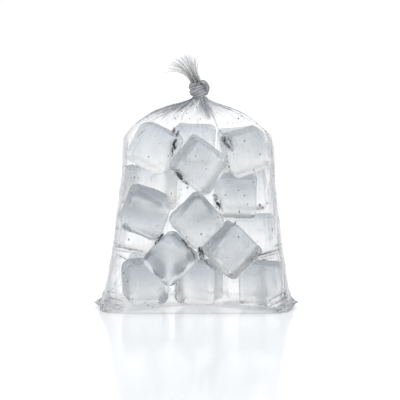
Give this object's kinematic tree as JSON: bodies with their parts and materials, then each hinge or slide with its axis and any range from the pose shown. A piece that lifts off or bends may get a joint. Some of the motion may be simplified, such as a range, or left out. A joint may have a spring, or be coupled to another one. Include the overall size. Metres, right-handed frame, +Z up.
{
  "type": "bag of ice cubes",
  "caption": "Clear plastic bag filled with clear ice cubes, tied shut with an overhand knot in its own film, the loose end fanned out above, standing on its base",
  "frame": {"origin": "on the floor under the middle of the bag's base", "axes": "+Z is up through the neck and the knot, -Y is the front of the bag and +X is to the right as seen from the front"},
  "size_m": [0.1704, 0.1252, 0.2155],
  "materials": {
    "clear_film": "clear soft film with a gentle gloss, creased",
    "clear_ice": "clear wet ice, faintly cool grey, softened by melting"
  },
  "bodies": {
    "root": {"bag": "clear_film", "ice_cube_01": "clear_ice", "ice_cube_02": "clear_ice", "ice_cube_03": "clear_ice", "ice_cube_04": "clear_ice", "ice_cube_05": "clear_ice", "ice_cube_06": "clear_ice", "ice_cube_07": "clear_ice", "ice_cube_08": "clear_ice", "ice_cube_09": "clear_ice", "ice_cube_10": "clear_ice", "ice_cube_11": "clear_ice", "ice_cube_12": "clear_ice", "ice_cube_13": "clear_ice", "ice_cube_14": "clear_ice", "ice_cube_15": "clear_ice", "ice_cube_16": "clear_ice", "ice_cube_17": "clear_ice", "ice_cube_18": "clear_ice", "ice_cube_19": "clear_ice", "ice_cube_20": "clear_ice", "ice_cube_21": "clear_ice", "ice_cube_22": "clear_ice"}
  },
  "joints": []
}
